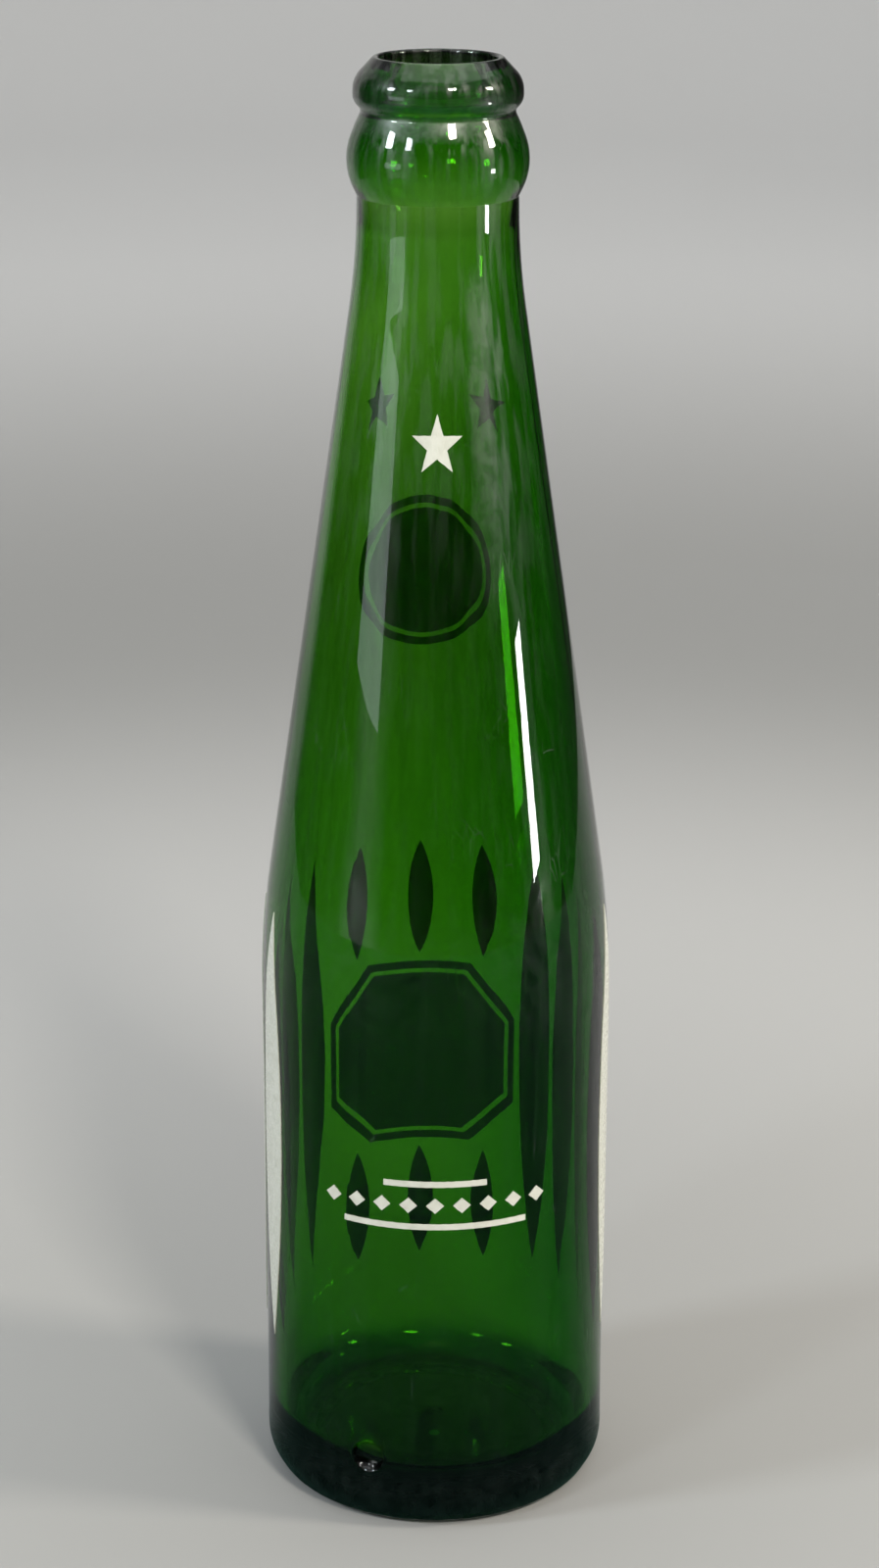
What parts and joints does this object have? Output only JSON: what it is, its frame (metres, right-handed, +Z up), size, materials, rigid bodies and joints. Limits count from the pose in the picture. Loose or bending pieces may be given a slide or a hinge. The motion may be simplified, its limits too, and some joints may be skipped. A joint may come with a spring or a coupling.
{
  "type": "glass soda bottle",
  "caption": "Slender green glass soda bottle with a crown finish, long conical neck, straight round body, thick base and white enamel prints.",
  "frame": {"origin": "on the bottle's axis, at the plane it stands on", "axes": "+Z up along the axis to the mouth, the print's front facing -Y"},
  "size_m": [0.0582, 0.0582, 0.2413],
  "materials": {
    "green_glass": "clear emerald green glass, smooth, lightly scuffed",
    "white_enamel": "fired white enamel, slightly worn"
  },
  "bodies": {
    "root": {"glass_bottle": "green_glass", "front_star": "white_enamel", "left_star": "white_enamel", "lower_petal_1": "white_enamel", "lower_petal_2": "white_enamel", "lower_petal_3": "white_enamel", "lower_rule": "white_enamel", "lozenge_1": "white_enamel", "lozenge_2": "white_enamel", "lozenge_3": "white_enamel", "lozenge_4": "white_enamel", "lozenge_5": "white_enamel", "lozenge_6": "white_enamel", "lozenge_7": "white_enamel", "lozenge_8": "white_enamel", "lozenge_9": "white_enamel", "petal_1": "white_enamel", "petal_2": "white_enamel", "petal_3": "white_enamel", "petal_4": "white_enamel", "petal_5": "white_enamel", "petal_6": "white_enamel", "petal_7": "white_enamel", "petal_8": "white_enamel", "plate_field": "white_enamel", "plate_frame": "white_enamel", "right_star": "white_enamel", "roundel_field": "white_enamel", "roundel_frame": "white_enamel", "upper_petal_1": "white_enamel", "upper_petal_2": "white_enamel", "upper_petal_3": "white_enamel", "upper_rule": "white_enamel"}
  },
  "joints": []
}
